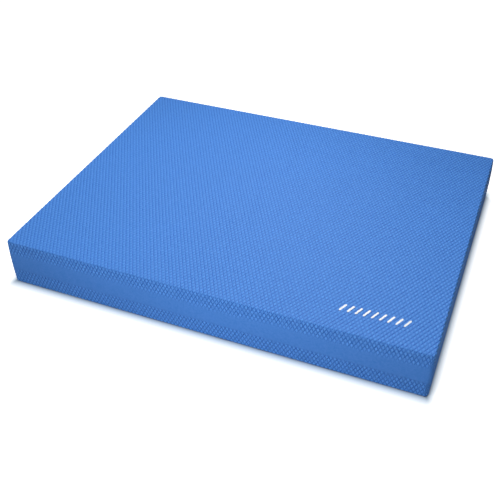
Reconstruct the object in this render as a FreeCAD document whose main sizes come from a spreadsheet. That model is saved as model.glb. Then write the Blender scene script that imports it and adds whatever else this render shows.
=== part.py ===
"""Balance pad: a laminated foam block, 500 x 390 x 60 mm, for standing and kneeling exercises.

Three foam layers are bonded one on another with thin films of hot-melt. The two outer layers carry a
dense moulded skin over their faces and down their sides, and the middle layer's side shows between the
two skins. A white mark is stamped into the top skin near one corner.

Frame: millimetres, +Z up, origin at the centre of the underside, +X along the long side, and the front
with the mark at -Y. Each half is drafted, so the pad is widest over its middle layer.
"""
import FreeCAD, Part
import math
import os

import Sketcher

DIMENSIONS = {
    "pad_length": 500.0,
    "pad_width": 390.0,
    "pad_height": 60.0,
    "layer_height": 22.0,  # each outer layer, with its skin
    "corner_radius": 5.0,  # upright corners
    "edge_radius": 2.0,  # edges of the top and underside
    "draft_angle": 1.5,  # degrees, how far the sides of an outer layer lean in
    "skin_thickness": 1.0,
    "film_thickness": 0.2,
    "film_inset": 0.5,  # a film is trimmed this far inside the pad's widest outline
    "mark_across": 180.0,  # the mark's middle, along +X from the pad's middle
    "mark_forward": 159.0,  # and towards the front
    "mark_depth": 0.1,
    "stroke_count": 9.0,
    "stroke_pitch": 8.5,
    "stroke_height": 11.0,
    "stroke_width": 2.4,
    "stroke_slant": 65.0,  # degrees up from +X
}

SAME_LEVEL = 1e-6  # heights this close are one level
CUT_SHARE = 0.99  # a tool that lies wholly inside its base takes at least this share of itself away

doc = FreeCAD.newDocument("balance_pad")


def make_sheet():
    """The spreadsheet that every size is bound to: a name in column A and its value, aliased, in B."""
    sheet = doc.addObject("Spreadsheet::Sheet", "dimensions")
    for row, (alias, number) in enumerate(DIMENSIONS.items(), start=1):
        sheet.set(f"A{row}", alias)
        sheet.set(f"B{row}", str(number))
        sheet.setAlias(f"B{row}", alias)
    doc.recompute()
    return sheet


def cell(alias):
    """How an expression names one cell of the sheet."""
    return f"dimensions.{alias}"


def value(alias):
    """A cell's number, for the first guess that a sketch's solver starts from."""
    return float(sheet.get(alias))


def sketch_on_level(body, name, level):
    """A sketch in the body, parallel to its XY plane, at the height that the expression level gives."""
    plane = next(item for item in body.Origin.OriginFeatures if item.Role == "XY_Plane")
    sketch = body.newObject("Sketcher::SketchObject", name)
    sketch.AttachmentSupport = (plane, "")
    sketch.MapMode = "FlatFace"
    sketch.setExpression("AttachmentOffset.Base.z", level)
    return sketch


def bind(sketch, name, constraint, expression):
    """Adds a named dimension to the sketch and binds it to an expression."""
    index = sketch.addConstraint(constraint)
    sketch.renameConstraint(index, name)
    sketch.setExpression(f"Constraints.{name}", expression)


def rounded_rectangle(sketch, inset):
    """The pad's outline with round corners, drawn in by the expression inset on every side."""
    half_x = value("pad_length") / 2
    half_y = value("pad_width") / 2
    radius = value("corner_radius")
    in_x = half_x - radius
    in_y = half_y - radius

    def line(x0, y0, x1, y1):
        return Part.LineSegment(FreeCAD.Vector(x0, y0, 0), FreeCAD.Vector(x1, y1, 0))

    def corner(x, y, start_degrees):
        circle = Part.Circle(FreeCAD.Vector(x, y, 0), FreeCAD.Vector(0, 0, 1), radius)
        start = math.radians(start_degrees)
        return Part.ArcOfCircle(circle, start, start + math.pi / 2)

    # anticlockwise from the front side, each side followed by the corner at its end
    outline = [
        line(-in_x, -half_y, in_x, -half_y),
        corner(in_x, -in_y, 270),
        line(half_x, -in_y, half_x, in_y),
        corner(in_x, in_y, 0),
        line(in_x, half_y, -in_x, half_y),
        corner(-in_x, in_y, 90),
        line(-half_x, in_y, -half_x, -in_y),
        corner(-in_x, -in_y, 180),
    ]
    front, right, back, left = 0, 2, 4, 6
    corners = (1, 3, 5, 7)
    sketch.addGeometry(outline, False)
    for index in range(len(outline)):
        following = (index + 1) % len(outline)
        sketch.addConstraint(Sketcher.Constraint("Tangent", index, 2, following, 1))
    for side in (front, back):
        sketch.addConstraint(Sketcher.Constraint("Horizontal", side))
    for side in (right, left):
        sketch.addConstraint(Sketcher.Constraint("Vertical", side))
    for other in corners[1:]:
        sketch.addConstraint(Sketcher.Constraint("Equal", corners[0], other))
    sketch.addConstraint(Sketcher.Constraint("Symmetric", front, 1, back, 1, -1, 1))
    bind(
        sketch,
        "length",
        Sketcher.Constraint("DistanceX", left, 1, right, 1, 2 * half_x),
        f"{cell('pad_length')} - 2 * {inset}",
    )
    bind(
        sketch,
        "width",
        Sketcher.Constraint("DistanceY", front, 1, back, 1, 2 * half_y),
        f"{cell('pad_width')} - 2 * {inset}",
    )
    bind(
        sketch,
        "corner",
        Sketcher.Constraint("Radius", corners[0], radius),
        f"{cell('corner_radius')} - {inset}",
    )


def slab(name, level, height, inset, downwards=False):
    """A body of one pad: the pad's outline, drawn in by inset, from the expression level for height."""
    body = doc.addObject("PartDesign::Body", name)
    body.Label = name
    sketch = sketch_on_level(body, f"{name}_outline", level)
    rounded_rectangle(sketch, inset)
    pad = body.newObject("PartDesign::Pad", f"{name}_pad")
    pad.Profile = sketch
    pad.setExpression("Length", height)
    pad.Reversed = downwards
    doc.recompute()
    return body


def drafted_block(name, level, height, inset, downwards=False):
    """A slab whose sides lean in away from the seam and whose far edges are rounded."""
    body = slab(name, level, height, inset, downwards)
    pad = body.Tip
    pad.setExpression("TaperAngle", f"-{cell('draft_angle')}")
    doc.recompute()
    box = pad.Shape.BoundBox
    far_level = box.ZMin if downwards else box.ZMax
    far_edges = [
        f"Edge{number}"
        for number, edge in enumerate(pad.Shape.Edges, start=1)
        if abs(edge.BoundBox.ZMin - far_level) < SAME_LEVEL
        and abs(edge.BoundBox.ZMax - far_level) < SAME_LEVEL
    ]
    rounding = body.newObject("PartDesign::Fillet", f"{name}_rounding")
    rounding.Base = (pad, far_edges)
    rounding.setExpression("Radius", f"{cell('edge_radius')} - {inset}")
    body.Tip = rounding
    doc.recompute()
    return body


def stamped_strokes(name):
    """The mark: a row of slanted round-ended strokes, as deep as the stamping, flush with the top."""
    body = doc.addObject("PartDesign::Body", name)
    body.Label = name
    body.AllowCompound = True
    sketch = sketch_on_level(body, f"{name}_stroke", cell("pad_height"))
    radius = value("stroke_width") / 2
    reach = value("stroke_height") / 2 - radius
    first_x = value("mark_across") - value("stroke_pitch") * (value("stroke_count") - 1) / 2
    first_y = -value("mark_forward")
    foot = FreeCAD.Vector(first_x, first_y - reach, 0)
    head = FreeCAD.Vector(first_x, first_y + reach, 0)
    aside = FreeCAD.Vector(radius, 0, 0)
    up = FreeCAD.Vector(0, radius, 0)
    stroke = [
        Part.LineSegment(foot + aside, head + aside),
        Part.Arc(head + aside, head + up, head - aside),
        Part.LineSegment(head - aside, foot - aside),
        Part.Arc(foot - aside, foot - up, foot + aside),
    ]
    right, top, left, bottom = range(4)
    sketch.addGeometry(stroke, False)
    spine = sketch.addGeometry(Part.LineSegment(foot, head), True)
    middle = sketch.addGeometry(Part.Point((foot + head) / 2), True)
    for index in range(4):
        following = (index + 1) % 4
        sketch.addConstraint(Sketcher.Constraint("Tangent", index, 2, following, 1))
    sketch.addConstraint(Sketcher.Constraint("Equal", top, bottom))
    sketch.addConstraint(Sketcher.Constraint("Coincident", spine, 1, bottom, 3))
    sketch.addConstraint(Sketcher.Constraint("Coincident", spine, 2, top, 3))
    sketch.addConstraint(Sketcher.Constraint("Symmetric", spine, 1, spine, 2, middle, 1))
    bind(
        sketch,
        "end_radius",
        Sketcher.Constraint("Radius", top, radius),
        f"{cell('stroke_width')} / 2",
    )
    bind(
        sketch,
        "rise",
        Sketcher.Constraint("DistanceY", spine, 1, spine, 2, 2 * reach),
        f"{cell('stroke_height')} - {cell('stroke_width')}",
    )
    bind(
        sketch,
        "lean",
        Sketcher.Constraint("DistanceX", spine, 1, spine, 2, 0.5),
        f"({cell('stroke_height')} - {cell('stroke_width')}) / tan({cell('stroke_slant')} * 1 deg)",
    )
    row_length = f"{cell('stroke_pitch')} * ({cell('stroke_count')} - 1)"
    bind(
        sketch,
        "across",
        Sketcher.Constraint("DistanceX", -1, 1, middle, 1, first_x),
        f"{cell('mark_across')} - {row_length} / 2",
    )
    bind(
        sketch,
        "forward",
        Sketcher.Constraint("DistanceY", middle, 1, -1, 1, -first_y),
        cell("mark_forward"),
    )
    pad = body.newObject("PartDesign::Pad", f"{name}_pad")
    pad.Profile = sketch
    pad.Reversed = True
    pad.setExpression("Length", cell("mark_depth"))
    doc.recompute()
    row = body.newObject("PartDesign::LinearPattern", f"{name}_row")
    row.Originals = [pad]
    row.Direction = (sketch, ["H_Axis"])
    row.setExpression("Length", row_length)
    row.setExpression("Occurrences", cell("stroke_count"))
    body.Tip = row
    doc.recompute()
    return body


def difference(name, base, tool):
    """What is left of base where tool is taken away."""
    cut = doc.addObject("Part::Cut", name)
    cut.Base = base
    cut.Tool = tool
    cut.Label = name
    doc.recompute()
    return cut


sheet = make_sheet()

NO_INSET = "0"

# heights above the underside
half_film = f"{cell('film_thickness')} / 2"
lower_seam = cell("layer_height")
upper_seam = f"({cell('pad_height')} - {cell('layer_height')})"
outer_height = f"({cell('layer_height')} - {half_film})"
foam_height = f"{outer_height} - {cell('skin_thickness')}"

# the upper layer and its skin, which share one surface
upper_base = f"{upper_seam} + {half_film}"
upper_form = drafted_block("upper_form", upper_base, outer_height, NO_INSET)
upper_foam_layer = drafted_block(
    "upper_foam_layer", upper_base, foam_height, cell("skin_thickness")
)
printed_mark = stamped_strokes("printed_mark")
upper_shell = difference("upper_shell", upper_form, upper_foam_layer)
top_skin = difference("top_skin", upper_shell, printed_mark)

# the middle layer between its two films
core_foam_layer = slab(
    "core_foam_layer",
    f"{lower_seam} + {half_film}",
    f"{cell('pad_height')} - 2 * {cell('layer_height')} - {cell('film_thickness')}",
    NO_INSET,
)
upper_bond_film = slab(
    "upper_bond_film", f"{upper_seam} - {half_film}", cell("film_thickness"), cell("film_inset")
)
lower_bond_film = slab(
    "lower_bond_film", f"{lower_seam} - {half_film}", cell("film_thickness"), cell("film_inset")
)

# the lower layer and its skin, the upper ones turned over
lower_base = f"{lower_seam} - {half_film}"
lower_form = drafted_block("lower_form", lower_base, outer_height, NO_INSET, downwards=True)
lower_foam_layer = drafted_block(
    "lower_foam_layer", lower_base, foam_height, cell("skin_thickness"), downwards=True
)
bottom_skin = difference("bottom_skin", lower_form, lower_foam_layer)

SUB_PARTS = [
    top_skin,
    printed_mark,
    upper_foam_layer,
    upper_bond_film,
    core_foam_layer,
    lower_bond_film,
    lower_foam_layer,
    bottom_skin,
]


def check_document():
    """Stops at any object that failed, any sub-part without a valid shape, or a cut that cut nothing."""
    doc.recompute()
    for item in doc.Objects:
        if "Invalid" in item.State or "Error" in item.State:
            raise RuntimeError(f"{item.Name} failed: {item.State}")
    for part in SUB_PARTS:
        if part.Shape.isNull() or not part.Shape.isValid():
            raise RuntimeError(f"{part.Label} has no valid shape")
    for cut in (upper_shell, top_skin, bottom_skin):
        if cut.Shape.Volume > cut.Base.Shape.Volume - CUT_SHARE * cut.Tool.Shape.Volume:
            raise RuntimeError(f"{cut.Label} was not hollowed")


def export_parts():
    """Writes each sub-part to parts/ under its label and prints its size."""
    os.makedirs("parts", exist_ok=True)
    for part in SUB_PARTS:
        part.Shape.exportStep(f"parts/{part.Label}.step")
        box = part.Shape.BoundBox
        print(
            f"{part.Label}: {len(part.Shape.Solids)} solid(s), {part.Shape.Volume / 1000:.2f} cm3,"
            f" {box.XLength:.2f} x {box.YLength:.2f} mm, z {box.ZMin:.2f} to {box.ZMax:.2f}"
        )


check_document()
export_parts()
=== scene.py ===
"""Looks of the balance pad: an embossed foam block lying on a white studio floor.

Metres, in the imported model's frame: the origin is at the centre of the underside, +X runs along the
long side and the front, with the printed mark near it, is at -Y.
"""
import math

import bmesh
import bpy
import numpy as np
from mathutils import Matrix, Vector


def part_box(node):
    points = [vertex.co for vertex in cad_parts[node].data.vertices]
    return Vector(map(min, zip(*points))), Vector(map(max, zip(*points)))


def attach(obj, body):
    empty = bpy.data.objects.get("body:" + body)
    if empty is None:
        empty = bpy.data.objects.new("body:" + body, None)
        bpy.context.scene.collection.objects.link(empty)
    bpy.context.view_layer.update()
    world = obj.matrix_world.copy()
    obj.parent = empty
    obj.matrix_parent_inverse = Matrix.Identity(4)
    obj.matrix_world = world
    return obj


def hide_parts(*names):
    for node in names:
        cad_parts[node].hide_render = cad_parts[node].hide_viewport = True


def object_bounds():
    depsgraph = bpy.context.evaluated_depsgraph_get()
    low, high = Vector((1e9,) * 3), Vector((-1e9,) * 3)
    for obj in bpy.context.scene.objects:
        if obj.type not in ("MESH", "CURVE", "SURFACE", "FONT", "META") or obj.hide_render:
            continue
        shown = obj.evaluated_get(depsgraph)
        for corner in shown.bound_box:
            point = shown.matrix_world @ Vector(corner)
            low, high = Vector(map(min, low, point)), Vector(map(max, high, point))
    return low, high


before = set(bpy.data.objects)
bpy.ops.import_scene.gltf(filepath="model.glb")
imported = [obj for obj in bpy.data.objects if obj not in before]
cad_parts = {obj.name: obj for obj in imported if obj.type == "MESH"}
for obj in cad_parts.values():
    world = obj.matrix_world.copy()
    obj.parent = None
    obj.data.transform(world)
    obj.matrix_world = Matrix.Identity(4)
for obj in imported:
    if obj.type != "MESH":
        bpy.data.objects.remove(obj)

MM = 0.001

# the CAD model's sizes
cad_low, cad_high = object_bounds()
HALF_LENGTH = cad_high.x
HALF_WIDTH = cad_high.y
HEIGHT = cad_high.z
MIDDLE = HEIGHT / 2
film_low, film_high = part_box("upper_bond_film")
UPPER_SEAM = (film_low.z + film_high.z) / 2
LOWER_SEAM = HEIGHT - UPPER_SEAM
FILM_HALF = (film_high.z - film_low.z) / 2
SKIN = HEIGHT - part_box("upper_foam_layer")[1].z
mark_low, mark_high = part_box("printed_mark")

# the block's form
CORNER_RADIUS = 5 * MM
EDGE_RADIUS = 2 * MM
LEAN = 0.6 * MM  # how far the side's top and foot are in from its widest line
SEAM_CHAMFER = 0.6 * MM  # where a layer's edge closes over the film between two layers
ROUNDING_POINTS = 13  # in section, on the edge's rounding
SIDE_POINTS = 40  # in section, from the rounding to the seam
CORNER_POINTS = 9  # in plan, on a corner's rounding
EDGE_CUTS = 5  # through the sheet of diamonds, across the edge's rounding
CORE_ROWS = 17  # of points, up the middle layer's side
CORE_STEP = 2 * MM  # between points along the middle layer's side, which shows
INNER_STEP = 20 * MM  # between points along the hidden layers' sides
CELL_WAVER = 0.02 * MM  # how far the foam's cells push the middle layer's side in and out

# the embossed pattern: grooves along two slanted directions leave raised diamonds
DIAMONDS_ALONG = 111
DIAMOND_X = 2 * HALF_LENGTH / DIAMONDS_ALONG
DIAMOND_Y = 8.18 * MM
GROOVE_DEPTH = 0.9 * MM
SHOULDER = 0.2  # where a groove's flank ends, as a share of the spacing between grooves
CROWN = 0.12  # how much of the depth is the rise from the shoulders to a diamond's middle
UPPER_FADE = (1 * MM, 9 * MM)  # above the seam: where the pattern starts and where it has its full depth
LOWER_FADE = (0.5 * MM, 3 * MM)
PATCHINESS = 0.1  # how much of the pattern's depth comes and goes in slow patches
RAGGEDNESS = 0.25  # how far the line where the pattern dies out wanders, as a share of the fade's height
SNAP = 0.12 * MM  # a point this near a cut through the sheet is moved onto it
AT_SEAM = 0.05 * MM  # a point this near the seam lies on it

# the printed mark: the CAD node's row of slanted strokes
STROKE_COUNT = 9
STROKE_WIDTH = 2.4 * MM
STROKE_SLANT = math.radians(65)
INK_THICKNESS = 0.08 * MM
INK_FILLS = 0.5  # how much of a groove's depth the ink fills
STROKE_TIP = 0.12  # the width of a stroke's blunt tip, as a share of the stroke's width
TIP_POINTS = 7  # along each of a stroke's round ends
LINE_POINTS = 19  # along a stroke between the middles of its ends
ACROSS_POINTS = 7  # from one side of a stroke to the other

# the colours and finishes
BLACK = (0, 0, 0, 1)
WHITE = (1, 1, 1, 1)
INK_SHADES = ((0.78, 0.82, 0.88, 1), (0.93, 0.94, 0.96, 1))  # where the ink is thin and where it is thick
FOAM_SHINE = 0.08  # the foam's specular level, where most plastics have 0.5
GLOSS_SPREAD = 0.06  # how far the foam's roughness varies either way
PAD_BLUE = (0.046, 0.217, 0.668)
GROOVE_PAINTED_SHADE = (1.05, 0.85, 0.51)  # painted shade: how much of the plain foam's colour a groove's bottom loses
SPECKLE = 0.16  # how much darker the foam's darkest grain is
SHADE_UNEVENNESS = 0.8  # how much the grooves' painted shade varies from place to place
SHADE_PATCH_SCALE = 300.0  # the painted shade's uneven patches to the metre
# painted shade of each direction of grooves, as light from behind the pad's middle falls on them: how
# strong it is on a face's left end, middle and right end, and on the sides
FIRST_PAINTED_SHADE = ((0.5, 0.55, 0.3), 0.75)
SECOND_PAINTED_SHADE = ((0.15, 0.5, 0.85), 0.75)
PAINTED_SHADE_REACH = 0.6 * HALF_LENGTH  # how far from the middle the painted shade of the ends is reached

# the studio
FLOOR_WHITE = (0.6, 0.6, 0.6, 1)
FLOOR_GAP = 0.2 * MM  # how far the floor lies under the pad, so that their faces don't coincide
SHADOW_START = 1.5 * MM  # how far in from the pad's outline the contact shadow's darkest line lies
SHADOW_WIDTH = (13 * MM, 21 * MM)  # how far the contact shadow reaches beside the pad and before it
SHADOW_TINT = (0.68, 0.85, 1.0, 1)  # the painted shadow's colour close to the pad: painted blue light thrown back from the pad
ROOM_LIGHT = 0.09  # the strength of the white all round, which the camera sees at full strength
CAMERA_ANGLES = (22.525, 38.542, -0.72)  # degrees: azimuth to the right of the front, elevation and roll
CAMERA_TARGET = (0.00615, -0.07154, 0.030)
CAMERA_DISTANCE = 0.9147
CAMERA_LENS = 54.941  # millimetres
SENSOR_WIDTH = 36.0  # millimetres


# ---------------------------------------------------------------- the block's form


def smooth_step(low, high, values):
    """0 up to low, 1 from high on, and a smooth rise between."""
    share = np.clip((values - low) / (high - low), 0, 1)
    return share * share * (3 - 2 * share)


def side_reach(z):
    """How far the side stands from the middle of its corner rounding, at height z: widest halfway up."""
    return CORNER_RADIUS - LEAN * np.abs((z - MIDDLE) / MIDDLE) ** 3


def edge_profile(seam, inset=0.0):
    """The block's outline in section, from the flat top over the rounded edge and down to the seam.

    Returns the reach from the middle of the corner rounding and the height, as two arrays."""
    radius = EDGE_RADIUS - inset
    turn = np.radians(np.linspace(90, 0, ROUNDING_POINTS))
    middle_z = HEIGHT - EDGE_RADIUS
    middle_reach = side_reach(middle_z) - EDGE_RADIUS
    down = np.linspace(middle_z, seam, SIDE_POINTS)[1:]
    reach = np.concatenate([middle_reach + radius * np.cos(turn), side_reach(down) - inset])
    height = np.concatenate([middle_z + radius * np.sin(turn), down])
    return reach, height


def nearest_inside(x, y):
    """The nearest point to (x, y) of the rectangle whose corners are the middles of the corner rounding."""
    inner_x = HALF_LENGTH - CORNER_RADIUS
    inner_y = HALF_WIDTH - CORNER_RADIUS
    return np.clip(x, -inner_x, inner_x), np.clip(y, -inner_y, inner_y)


def wrap(x, y, seam):
    """Folds points of a flat sheet over the block's edge and down its side.

    Returns the places, the outward normals, and how far each point lies past the flat top."""
    reach, height = edge_profile(seam)
    along = np.concatenate([[0], np.cumsum(np.hypot(np.diff(reach), np.diff(height)))])
    inner_x, inner_y = nearest_inside(x, y)
    out_x, out_y = x - inner_x, y - inner_y
    beyond = np.hypot(out_x, out_y)
    way_x = np.divide(out_x, beyond, out=np.zeros_like(x), where=beyond > 0)
    way_y = np.divide(out_y, beyond, out=np.zeros_like(x), where=beyond > 0)
    past = np.clip(beyond - reach[0], 0, along[-1])
    on_top = beyond <= reach[0]
    stand = np.where(on_top, beyond, np.interp(past, along, reach))
    z = np.interp(past, along, height)
    slope = np.arctan2(-np.gradient(height), np.gradient(reach))
    tilt = np.where(on_top, 0, np.interp(past, along, slope))
    places = np.stack([inner_x + way_x * stand, inner_y + way_y * stand, z], axis=1)
    normals = np.stack([way_x * np.sin(tilt), way_y * np.sin(tilt), np.cos(tilt)], axis=1)
    return places, normals, beyond - reach[0]


# ---------------------------------------------------------------- the embossed pattern


def grooves_passed(x, y):
    """How many grooves of each direction a point of the flat sheet lies beyond the middle one."""
    return x / DIAMOND_X + y / DIAMOND_Y, x / DIAMOND_X - y / DIAMOND_Y


def relief(x, y):
    """The pattern's height at a point of the flat sheet: 0 on a diamond's crown, -1 in a groove."""
    first, second = grooves_passed(x, y)
    off_groove = np.minimum(np.abs(first - np.round(first)), np.abs(second - np.round(second)))
    return np.interp(off_groove, [0, SHOULDER, 0.5], [-1, -CROWN, 0])


def diamond_sheet(reach_x, reach_y):
    """A flat sheet of diamonds, each with four flanks between the grooves round it and a crown of four."""
    count = math.ceil(reach_x / DIAMOND_X + reach_y / DIAMOND_Y)
    crossings = np.arange(-count, count + 1)
    first, second = (grid.ravel() for grid in np.meshgrid(crossings[:-1], crossings[:-1], indexing="ij"))
    near = np.abs(first + second + 1) / 2 * DIAMOND_X < reach_x
    near &= np.abs(first - second) / 2 * DIAMOND_Y < reach_y
    first, second = first[near], second[near]
    corner = {}
    lattice = []

    def numbered(key):
        """The number of the point at this place in the lattice, which is added where it is new."""
        if key not in corner:
            corner[key] = len(lattice)
            lattice.append(key)
        return corner[key]

    faces = []
    around = ((0, 0), (1, 0), (1, 1), (0, 1))
    for left, right in zip(first.tolist(), second.tolist()):
        grooves = [numbered((left + step, right + other)) for step, other in around]
        inset = [
            numbered((left + abs(step - SHOULDER), right + abs(other - SHOULDER)))
            for step, other in around
        ]
        crown = numbered((left + 0.5, right + 0.5))
        for index in range(4):
            after = (index + 1) % 4
            faces.append((grooves[index], inset[index], inset[after], grooves[after]))
            faces.append((inset[index], crown, inset[after]))
    lattice = np.array(lattice)
    x = (lattice[:, 0] + lattice[:, 1]) / 2 * DIAMOND_X
    y = (lattice[:, 0] - lattice[:, 1]) / 2 * DIAMOND_Y
    return np.stack([x, y, np.zeros(len(lattice))], axis=1), faces


def cut_along_edges(bm, reaches):
    """Adds lines to the sheet parallel to each side, so that the edge's rounding has rows of its own."""
    for reach in reaches:
        for way, half in ((Vector((1, 0, 0)), HALF_LENGTH), (Vector((0, 1, 0)), HALF_WIDTH)):
            for side in (-1, 1):
                bmesh.ops.bisect_plane(
                    bm,
                    geom=bm.verts[:] + bm.edges[:] + bm.faces[:],
                    dist=SNAP,
                    use_snap_center=True,
                    plane_co=way * side * (half - CORNER_RADIUS + reach),
                    plane_no=way * side,
                )


def uneven(turns):
    """A slow wander between about -1 and 1 along a length counted in turns."""
    waves = ((7, 0.5, 0.0), (13, 0.3, 2.1), (29, 0.2, 4.4))
    return sum(share * np.sin(2 * math.pi * count * turns + phase) for count, share, phase in waves)


def pattern_strength(x, y, places, fade):
    """How much of the pattern's depth is left: it dies out unevenly on its way down the side."""
    start, full = fade
    way_round = np.arctan2(y / HALF_WIDTH, x / HALF_LENGTH) / (2 * math.pi)
    height = places[:, 2] - UPPER_SEAM + uneven(way_round) * (full - start) * RAGGEDNESS
    patches = uneven(x / (3 * HALF_LENGTH)) * uneven(y / (3 * HALF_LENGTH) + 0.2)
    return smooth_step(start, full, height) * (1 - PATCHINESS + PATCHINESS * patches)


def groove_attributes(x, y, on_sides, strength):
    """The mesh attributes that the pattern's painted shade needs, for points of the flat sheet.

    For each direction of grooves, one is a whole number in each groove and the other is the strength of
    the grooves' painted shade, which changes from end to end as light from behind the middle falls on them."""
    attributes = dict(zip(("first", "second"), grooves_passed(x, y)))
    for name, (on_face, on_side) in (("first_painted_shade", FIRST_PAINTED_SHADE), ("second_painted_shade", SECOND_PAINTED_SHADE)):
        # painted shade: each end of a face shows mostly one direction of grooves, the sides both alike
        tone = np.interp(x, [-PAINTED_SHADE_REACH, 0, PAINTED_SHADE_REACH], on_face)
        attributes[name] = np.where(on_sides, on_side, tone) * strength
    return attributes


def skin_mesh(name, fade):
    """A skin, the top one's way up: the embossed sheet folded over the edge, and a plain inner face."""
    reach, height = edge_profile(UPPER_SEAM)
    length = float(np.hypot(np.diff(reach), np.diff(height)).sum())
    rounding = EDGE_RADIUS * math.pi / 2
    foot = reach[0] + length
    bm = flat_sheet(foot)
    cut_along_edges(bm, [*np.linspace(reach[0], reach[0] + rounding, EDGE_CUTS).tolist(), foot])

    sheet = np.array([vert.co for vert in bm.verts])
    x, y = sheet[:, 0], sheet[:, 1]
    places, normals, past = wrap(x, y, UPPER_SEAM)
    strength = pattern_strength(x, y, places, fade)
    places += normals * (relief(x, y) * strength * GROOVE_DEPTH)[:, None]
    attributes = groove_attributes(x, y, past > rounding / 2, strength)
    layers = [bm.verts.layers.float.new(attribute) for attribute in attributes]
    readings = np.stack(list(attributes.values()), axis=1).tolist()
    for vert, place, row in zip(bm.verts, places.tolist(), readings):
        vert.co = place
        for layer, reading in zip(layers, row):
            vert[layer] = reading
    trim_at_seam(bm, past > length - AT_SEAM)
    close_inside(bm, UPPER_SEAM)
    return finished_mesh(bm, name)


def flat_sheet(foot):
    """The sheet of diamonds before it is folded, a little larger than the block and its sides unfolded.

    foot is how far the foot of the skin's side lies from the middle of the corner rounding, unfolded."""
    places, faces = diamond_sheet(
        HALF_LENGTH - CORNER_RADIUS + foot + DIAMOND_X, HALF_WIDTH - CORNER_RADIUS + foot + DIAMOND_Y
    )
    mesh = bpy.data.meshes.new("flat_sheet")
    mesh.from_pydata(places.tolist(), [], faces)
    bm = bmesh.new()
    bm.from_mesh(mesh)
    bpy.data.meshes.remove(mesh)
    return bm


def trim_at_seam(bm, at_seam):
    """Takes away the faces that have every corner at the seam, and the points that they leave loose."""
    for vert, tag in zip(bm.verts, at_seam.tolist()):
        vert.tag = tag
    beyond_seam = [face for face in bm.faces if all(vert.tag for vert in face.verts)]
    bmesh.ops.delete(bm, geom=beyond_seam, context="FACES")
    loose = [vert for vert in bm.verts if not vert.link_faces]
    bmesh.ops.delete(bm, geom=loose, context="VERTS")


def close_inside(bm, seam):
    """Closes the skin: a rim at the seam, an inner wall and a flat inner face one skin's thickness in."""
    reach, height = edge_profile(seam + FILM_HALF, inset=SKIN)
    rows = list(zip(reach[::-1], height[::-1]))
    # the seam, then only the start, the middle and the end of the rounding
    rows = [rows[0]] + rows[-ROUNDING_POINTS :: ROUNDING_POINTS // 2]
    border = [edge for edge in bm.edges if edge.is_boundary]
    for edge in border:
        edge.smooth = False
    for row_reach, row_height in rows:
        made = bmesh.ops.extrude_edge_only(bm, edges=border)["geom"]
        verts = [item for item in made if isinstance(item, bmesh.types.BMVert)]
        border = [item for item in made if isinstance(item, bmesh.types.BMEdge) and item.is_boundary]
        for vert in verts:
            inner_x, inner_y = nearest_inside(vert.co.x, vert.co.y)
            way = Vector((vert.co.x - inner_x, vert.co.y - inner_y)).normalized()
            vert.co = (inner_x + way.x * row_reach, inner_y + way.y * row_reach, row_height)
        if (row_reach, row_height) == rows[0]:
            for edge in border:
                edge.smooth = False
    bmesh.ops.contextual_create(bm, geom=border)
    bmesh.ops.recalc_face_normals(bm, faces=bm.faces[:])


def finished_mesh(bm, name):
    """The mesh of bm, smooth shaded."""
    for face in bm.faces:
        face.smooth = True
    mesh = bpy.data.meshes.new(name)
    bm.to_mesh(mesh)
    bm.free()
    return mesh


def turned_over(mesh, name):
    """A copy of the mesh reflected in the block's middle plane."""
    copy = mesh.copy()
    copy.name = name
    copy.transform(Matrix.Translation((0, 0, HEIGHT)) @ Matrix.Diagonal((1, 1, -1, 1)))
    copy.flip_normals()
    return copy


# ---------------------------------------------------------------- the foam layers


def outline_ways(step):
    """Points round the block's plan: the nearest point of the corners' inner rectangle, and the way out."""
    inner_x = HALF_LENGTH - CORNER_RADIUS
    inner_y = HALF_WIDTH - CORNER_RADIUS
    corners = [(inner_x, -inner_y), (inner_x, inner_y), (-inner_x, inner_y), (-inner_x, -inner_y)]
    points = []
    for number, (x, y) in enumerate(corners):
        start = math.radians(-90 + 90 * number)
        for turn in np.linspace(start, start + math.pi / 2, CORNER_POINTS):
            points.append((x, y, math.cos(turn), math.sin(turn)))
        next_x, next_y = corners[(number + 1) % 4]
        count = round(math.hypot(next_x - x, next_y - y) / step)
        turn = start + math.pi / 2
        for share in np.arange(1, count) / count:
            place = (x + (next_x - x) * share, y + (next_y - y) * share)
            points.append((*place, math.cos(turn), math.sin(turn)))
    return points


def layer_mesh(name, profile, step, waver=0.0, sharp_rows=()):
    """A closed block with the plan's outline whose sides follow profile, a list of (reach, height).

    waver is how far the foam's cells push its side in and out."""
    rng = np.random.default_rng(11)
    ways = outline_ways(step)
    bm = bmesh.new()
    rows = []
    for number, (reach, height) in enumerate(profile):
        free = 0 < number < len(profile) - 1 and number not in sharp_rows
        pushes = rng.normal(0, waver, len(ways)) if waver and free else np.zeros(len(ways))
        rows.append(
            [
                bm.verts.new((x + way_x * (reach + push), y + way_y * (reach + push), height))
                for (x, y, way_x, way_y), push in zip(ways, pushes)
            ]
        )
    for lower, upper in zip(rows, rows[1:]):
        for index in range(len(ways)):
            following = (index + 1) % len(ways)
            bm.faces.new((lower[index], lower[following], upper[following], upper[index]))
    bm.faces.new(rows[-1])
    bm.faces.new(rows[0][::-1])
    bmesh.ops.recalc_face_normals(bm, faces=bm.faces[:])
    for number in (0, len(rows) - 1, *sharp_rows):
        for index in range(len(ways)):
            edge = bm.edges.get((rows[number][index], rows[number][(index + 1) % len(ways)]))
            edge.smooth = False
    return finished_mesh(bm, name)


def core_profile():
    """The middle layer's side, slightly barrelled, closing over the film above and below it."""
    heights = np.linspace(LOWER_SEAM, UPPER_SEAM, CORE_ROWS)
    rows = [(side_reach(z), z) for z in heights]
    foot = (side_reach(LOWER_SEAM) - SEAM_CHAMFER, LOWER_SEAM + FILM_HALF)
    top = (side_reach(UPPER_SEAM) - SEAM_CHAMFER, UPPER_SEAM - FILM_HALF)
    return [foot, *rows, top]


def inner_profile():
    """The upper foam layer's side, which fills the skin."""
    reach, height = edge_profile(UPPER_SEAM + FILM_HALF, inset=SKIN)
    return list(zip(reach[::-1], height[::-1]))


# ---------------------------------------------------------------- the printed mark


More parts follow.
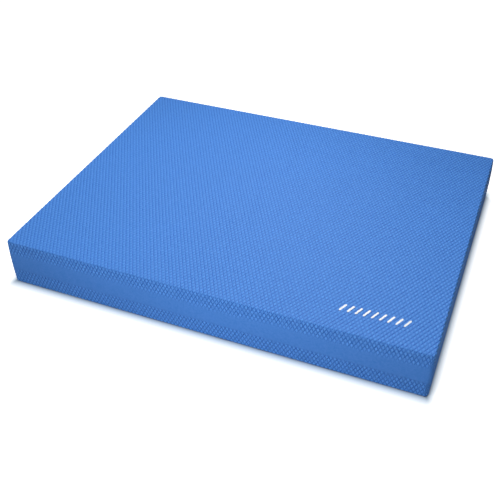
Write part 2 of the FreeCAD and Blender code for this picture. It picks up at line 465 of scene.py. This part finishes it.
def mark_mesh(name):
    """The strokes as one thin coat of ink each, laid over the diamonds and half filling the grooves."""
    radius = STROKE_WIDTH / 2
    rise = (mark_high.y - mark_low.y) / 2 - radius
    half_run = rise / math.tan(STROKE_SLANT)
    middle_y = (mark_low.y + mark_high.y) / 2
    first_x = mark_low.x + half_run + radius
    last_x = mark_high.x - half_run - radius
    bm = bmesh.new()
    for middle_x in np.linspace(first_x, last_x, STROKE_COUNT):
        add_stroke(bm, Vector((middle_x, middle_y, 0)), Vector((half_run, rise, 0)), radius)
    bmesh.ops.recalc_face_normals(bm, faces=bm.faces[:])
    if bm.faces[:][0].normal.z < 0:
        bmesh.ops.reverse_faces(bm, faces=bm.faces[:])
    return finished_mesh(bm, name)


def add_stroke(bm, middle, half_stroke, radius):
    """One round-ended stroke of ink, from its middle half a stroke each way."""
    half_line = half_stroke.length
    along = half_stroke.normalized()
    across = Vector((along.y, -along.x, 0))
    ends = half_line + radius * np.sin(np.radians(np.linspace(0, 90, TIP_POINTS)))
    straight = np.linspace(-half_line, half_line, LINE_POINTS)[1:-1]
    grid = []
    for length in np.concatenate([-ends[::-1], straight, ends]):
        past_end = max(abs(length) - half_line, 0)
        half = math.sqrt(max(radius**2 - past_end**2, (STROKE_TIP * radius) ** 2))
        row = []
        for share in np.linspace(-1, 1, ACROSS_POINTS):
            place = middle + along * length + across * half * share
            low = float(relief(place.x, place.y)) * GROOVE_DEPTH * (1 - INK_FILLS)
            row.append(bm.verts.new((place.x, place.y, HEIGHT + INK_THICKNESS + low)))
        grid.append(row)
    for lower, upper in zip(grid, grid[1:]):
        for index in range(len(lower) - 1):
            bm.faces.new((lower[index], lower[index + 1], upper[index + 1], upper[index]))


# ---------------------------------------------------------------- materials


class Nodes:
    """Builds a node tree: each method adds one node and returns its output."""

    def __init__(self, tree):
        self.tree = tree

    def add(self, kind, inputs=None, **settings):
        """A node of this kind with its settings, and its inputs wired or set."""
        node = self.tree.nodes.new(kind)
        for key, setting in settings.items():
            setattr(node, key, setting)
        for key, source in (inputs or {}).items():
            if isinstance(source, bpy.types.NodeSocket):
                self.tree.links.new(source, node.inputs[key])
            else:
                node.inputs[key].default_value = source
        return node

    def number(self, operation, *values, clamped=False):
        """A number worked out from others."""
        node = self.add("ShaderNodeMath", dict(enumerate(values)), operation=operation, use_clamp=clamped)
        return node.outputs["Value"]

    def vector(self, operation, *values):
        """A vector worked out from others."""
        node = self.add("ShaderNodeVectorMath", dict(enumerate(values)), operation=operation)
        return node.outputs["Vector"]

    def mapped(self, value, limits, results):
        """The value's place between two limits, taken to the same place between two results."""
        sockets = ("Value", "From Min", "From Max", "To Min", "To Max")
        inputs = dict(zip(sockets, (value, *limits, *results)))
        return self.add("ShaderNodeMapRange", inputs).outputs["Result"]

    def mixed(self, share, first, second, way="MIX"):
        """The first colour with this share of the second one in it."""
        inputs = {"Fac": share, "Color1": first, "Color2": second}
        return self.add("ShaderNodeMixRGB", inputs, blend_type=way, use_clamp=True).outputs["Color"]

    def place(self):
        """The point's place on the pad, in metres."""
        return self.add("ShaderNodeTexCoord").outputs["Object"]

    def noise(self, scale, detail):
        """Cloudy noise between 0 and 1, with scale clouds to the metre."""
        inputs = {"Vector": self.place(), "Scale": scale, "Detail": detail}
        return self.add("ShaderNodeTexNoise", inputs).outputs["Fac"]

    def attribute(self, name):
        """The mesh attribute of this name."""
        return self.add("ShaderNodeAttribute", attribute_name=name).outputs["Fac"]


def surface_material(name, finish):
    """A material whose colour, roughness and relief come from finish, a function that takes its nodes.

    finish returns the colour, the roughness, the relief's height, its strength and its depth."""
    material = bpy.data.materials.new(name)
    material.use_nodes = True
    nodes = Nodes(material.node_tree)
    colour, roughness, height, strength, depth = finish(nodes)
    bump = nodes.add("ShaderNodeBump", {"Height": height, "Strength": strength, "Distance": depth})
    shader = nodes.tree.nodes["Principled BSDF"]
    nodes.tree.links.new(colour, shader.inputs["Base Color"])
    nodes.tree.links.new(roughness, shader.inputs["Roughness"])
    nodes.tree.links.new(bump.outputs["Normal"], shader.inputs["Normal"])
    return material


def scaled(colour, factor):
    """The colour times a factor, as the four numbers that a colour socket takes."""
    return (*(min(part * factor, 1) for part in colour), 1)


def foam_material(name, colour, grain, grain_depth, roughness, embossed=False):
    """Closed-cell foam: slow and fine variation of its colour and gloss, and a grain of cells."""

    def finish(nodes):
        slow = nodes.noise(scale=9.0, detail=3.0)
        fine = nodes.noise(scale=grain, detail=4.0)
        inputs = {"Vector": nodes.place(), "Scale": grain * 0.8}
        cells = nodes.add("ShaderNodeTexVoronoi", inputs).outputs["Distance"]
        base = nodes.mixed(slow, scaled(colour, 0.96), scaled(colour, 1.04))
        darkest = nodes.mixed(SPECKLE, base, BLACK)
        lightest = nodes.mixed(SPECKLE / 3, base, WHITE)
        speckled = nodes.mixed(fine, darkest, lightest)
        if embossed:
            # the embossed skin's colour gets painted shade in its grooves and painted light on its diamonds
            speckled = nodes.mixed(1.0, speckled, painted_groove_shade(nodes), way="MULTIPLY")
        gloss = nodes.mapped(fine, (0, 1), (roughness - GLOSS_SPREAD, roughness + GLOSS_SPREAD))
        return speckled, gloss, nodes.number("ADD", cells, fine), 0.5, grain_depth

    material = surface_material(name, finish)
    material.node_tree.nodes["Principled BSDF"].inputs["Specular IOR Level"].default_value = FOAM_SHINE
    return material


def painted_groove_shade(nodes):
    """The embossed pattern's painted shade: darker in the grooves, painted lighter on the diamonds, 1 on
    average.

    A groove's painted shade dies out where the other direction crosses it, and is uneven from place to
    place."""
    first, second = (
        nodes.mapped(nodes.number("PINGPONG", nodes.attribute(name), 0.5), (0, SHOULDER), (1, 0))
        for name in ("first", "second")
    )
    level = 0.0
    for name, groove, crossing in (("first_painted_shade", first, second), ("second_painted_shade", second, first)):
        open_groove = nodes.mapped(crossing, (0, 1), (1 / (1 - SHOULDER), 0))
        part = nodes.number("MULTIPLY", nodes.number("SUBTRACT", groove, SHOULDER), open_groove)
        level = nodes.number("MULTIPLY_ADD", part, nodes.attribute(name), level)
    shade_patches = nodes.mapped(nodes.noise(SHADE_PATCH_SCALE, detail=2.0), (0.3, 0.7), (1 - SHADE_UNEVENNESS, 1 + SHADE_UNEVENNESS))
    patchy_shade = nodes.number("MULTIPLY", level, shade_patches)
    loss = tuple(-share for share in GROOVE_PAINTED_SHADE)
    return nodes.vector("MULTIPLY_ADD", patchy_shade, loss, (1, 1, 1))


def film_finish(nodes):
    """Hot-melt film: a thin milky blue coat with a slow unevenness from rolling."""
    flow = nodes.noise(scale=60.0, detail=5.0)
    tone = nodes.mixed(flow, scaled(PAD_BLUE, 1.0), scaled(PAD_BLUE, 1.4))
    return tone, nodes.mapped(flow, (0, 1), (0.25, 0.45)), flow, 0.4, 0.1 * MM


def ink_finish(nodes):
    """White screen ink: slightly uneven cover over the foam's grain."""
    cover = nodes.noise(scale=700.0, detail=3.0)
    tone = nodes.mixed(cover, *INK_SHADES)
    return tone, nodes.mapped(cover, (0, 1), (0.4, 0.55)), cover, 0.3, 0.03 * MM


# ---------------------------------------------------------------- pieces


def add_piece(name, mesh, material, node):
    """A piece that stands for one CAD node and rides with it."""
    mesh.materials.append(material)
    piece = bpy.data.objects.new(name, mesh)
    bpy.context.scene.collection.objects.link(piece)
    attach(piece, "root")
    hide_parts(node)
    return piece


skin_foam = foam_material(
    "skin_foam", PAD_BLUE, grain=900.0, grain_depth=0.05 * MM, roughness=0.5, embossed=True
)
layer_foam = foam_material("layer_foam", PAD_BLUE, grain=500.0, grain_depth=0.08 * MM, roughness=0.6)
ink = surface_material("white_ink", ink_finish)
film = surface_material("hot_melt", film_finish)

top_mesh = skin_mesh("embossed_top_skin", UPPER_FADE)
bottom_mesh = turned_over(skin_mesh("embossed_bottom_skin", LOWER_FADE), "embossed_bottom_skin")
core_mesh = layer_mesh(
    "core_foam", core_profile(), CORE_STEP, waver=CELL_WAVER, sharp_rows=(1, CORE_ROWS)
)
inner_mesh = layer_mesh("upper_foam", inner_profile(), INNER_STEP)
lower_mesh = turned_over(inner_mesh, "lower_foam")
soft_pieces = [
    add_piece("embossed_top_skin", top_mesh, skin_foam, "top_skin"),
    add_piece("embossed_bottom_skin", bottom_mesh, skin_foam, "bottom_skin"),
    add_piece("core_foam", core_mesh, layer_foam, "core_foam_layer"),
    add_piece("upper_foam", inner_mesh, layer_foam, "upper_foam_layer"),
    add_piece("lower_foam", lower_mesh, layer_foam, "lower_foam_layer"),
]

mark = add_piece("stamped_strokes", mark_mesh("stamped_strokes"), ink, "printed_mark")
coat = mark.modifiers.new("coat", "SOLIDIFY")
coat.thickness = 2 * INK_THICKNESS
coat.offset = -1

for node in ("upper_bond_film", "lower_bond_film"):
    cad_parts[node].data.materials.clear()
    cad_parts[node].data.materials.append(film)


# ---------------------------------------------------------------- the studio


def studio_floor():
    """A white floor with the pad's contact shadow painted on it near the pad, glowing to clear white further
    out.
    """
    bm = bmesh.new()
    bmesh.ops.create_grid(bm, x_segments=1, y_segments=1, size=4.0)
    mesh = bpy.data.meshes.new("studio_floor")
    bm.to_mesh(mesh)
    bm.free()
    floor = bpy.data.objects.new("studio_floor", mesh)
    floor.location.z = -FLOOR_GAP
    bpy.context.scene.collection.objects.link(floor)

    material = bpy.data.materials.new("white_floor")
    material.use_nodes = True
    nodes = Nodes(material.node_tree)
    nodes.tree.nodes.clear()
    # painted contact shadow: the floor's colour and its glow turn darker and bluer near the pad
    darkness = contact_shadow(nodes)
    tone = nodes.mixed(darkness, WHITE, SHADOW_TINT)
    seen = nodes.add("ShaderNodeLightPath").outputs["Is Camera Ray"]
    glow = nodes.number("MULTIPLY", nodes.number("SUBTRACT", 1.0, darkness), seen)
    pale = nodes.mixed(1.0, tone, FLOOR_WHITE, way="MULTIPLY")
    diffuse = nodes.add("ShaderNodeBsdfDiffuse", {"Color": pale})
    emission = nodes.add("ShaderNodeEmission", {"Color": tone, "Strength": glow})
    both = nodes.add("ShaderNodeAddShader", {0: diffuse.outputs["BSDF"], 1: emission.outputs["Emission"]})
    nodes.add("ShaderNodeOutputMaterial", {"Surface": both.outputs["Shader"]})
    mesh.materials.append(material)


def contact_shadow(nodes):
    """How dark the pad's painted contact shadow is: 1 just inside the pad's outline, and 0 at its full
    width.
    """
    place = nodes.add("ShaderNodeNewGeometry").outputs["Position"]
    outline = (HALF_LENGTH - SHADOW_START, HALF_WIDTH - SHADOW_START, 1.0)
    beyond = nodes.vector("SUBTRACT", nodes.vector("ABSOLUTE", place), outline)
    share = nodes.vector("MAXIMUM", nodes.vector("DIVIDE", beyond, (*SHADOW_WIDTH, 1.0)), (0, 0, 0))
    distance = nodes.add("ShaderNodeVectorMath", {0: share}, operation="LENGTH").outputs["Value"]
    dark = nodes.number("SUBTRACT", 1.0, distance, clamped=True)
    return nodes.number("MULTIPLY", dark, dark)


def softbox(name, place, target, size, power):
    """A soft rectangular lamp at a place, facing the target."""
    lamp = bpy.data.lights.new(name, "AREA")
    lamp.shape = "RECTANGLE"
    lamp.size, lamp.size_y = size
    lamp.energy = power
    holder = bpy.data.objects.new(name, lamp)
    holder.location = place
    holder.rotation_mode = "QUATERNION"
    holder.rotation_quaternion = (Vector(target) - Vector(place)).to_track_quat("-Z", "Y")
    holder.visible_camera = False
    bpy.context.scene.collection.objects.link(holder)


def studio_light():
    """A softbox over the back edge, a large one overhead, and low cards that lift the front and the ends."""
    softbox("back_softbox", (-0.09, 0.42, 0.65), (-0.09, -1.0, 0.55), (0.3, 0.3), 7.5)
    softbox("overhead_softbox", (0.06, -0.60, 0.90), (0.0, -0.10, 0.05), (0.5, 0.4), 5.5)
    softbox("front_card", (0.02, -0.50, 0.032), (0.02, -0.195, 0.03), (0.3, 0.05), 0.41)
    for name, side in (("left_card", -1), ("right_card", 1)):
        softbox(name, (0.55 * side, -0.12, 0.032), (0.25 * side, -0.08, 0.03), (0.3, 0.05), 0.10)
    world = bpy.context.scene.world or bpy.data.worlds.new("studio")
    bpy.context.scene.world = world
    world.use_nodes = True
    nodes = Nodes(world.node_tree)
    seen = nodes.add("ShaderNodeLightPath").outputs["Is Camera Ray"]
    background = nodes.tree.nodes["Background"]
    background.inputs["Color"].default_value = WHITE
    nodes.tree.links.new(nodes.mapped(seen, (0, 1), (ROOM_LIGHT, 1)), background.inputs["Strength"])


def camera():
    """A camera to the front and right of the pad, looking down on it."""
    azimuth, elevation, roll = (math.radians(angle) for angle in CAMERA_ANGLES)
    back = Vector(
        (
            math.sin(azimuth) * math.cos(elevation),
            -math.cos(azimuth) * math.cos(elevation),
            math.sin(elevation),
        )
    )
    lens = bpy.data.cameras.new("camera")
    lens.sensor_width = SENSOR_WIDTH
    lens.lens = CAMERA_LENS
    lens.clip_start = 0.01
    holder = bpy.data.objects.new("camera", lens)
    holder.rotation_mode = "QUATERNION"
    turn = Matrix.Rotation(roll, 3, "Z").to_quaternion()
    holder.rotation_quaternion = (-back).to_track_quat("-Z", "Y") @ turn
    holder.location = Vector(CAMERA_TARGET) + back * CAMERA_DISTANCE
    bpy.context.scene.collection.objects.link(holder)
    bpy.context.scene.camera = holder


studio_floor()
studio_light()
camera()
view = bpy.context.scene.view_settings
view.view_transform = "Standard"
view.look = "None"
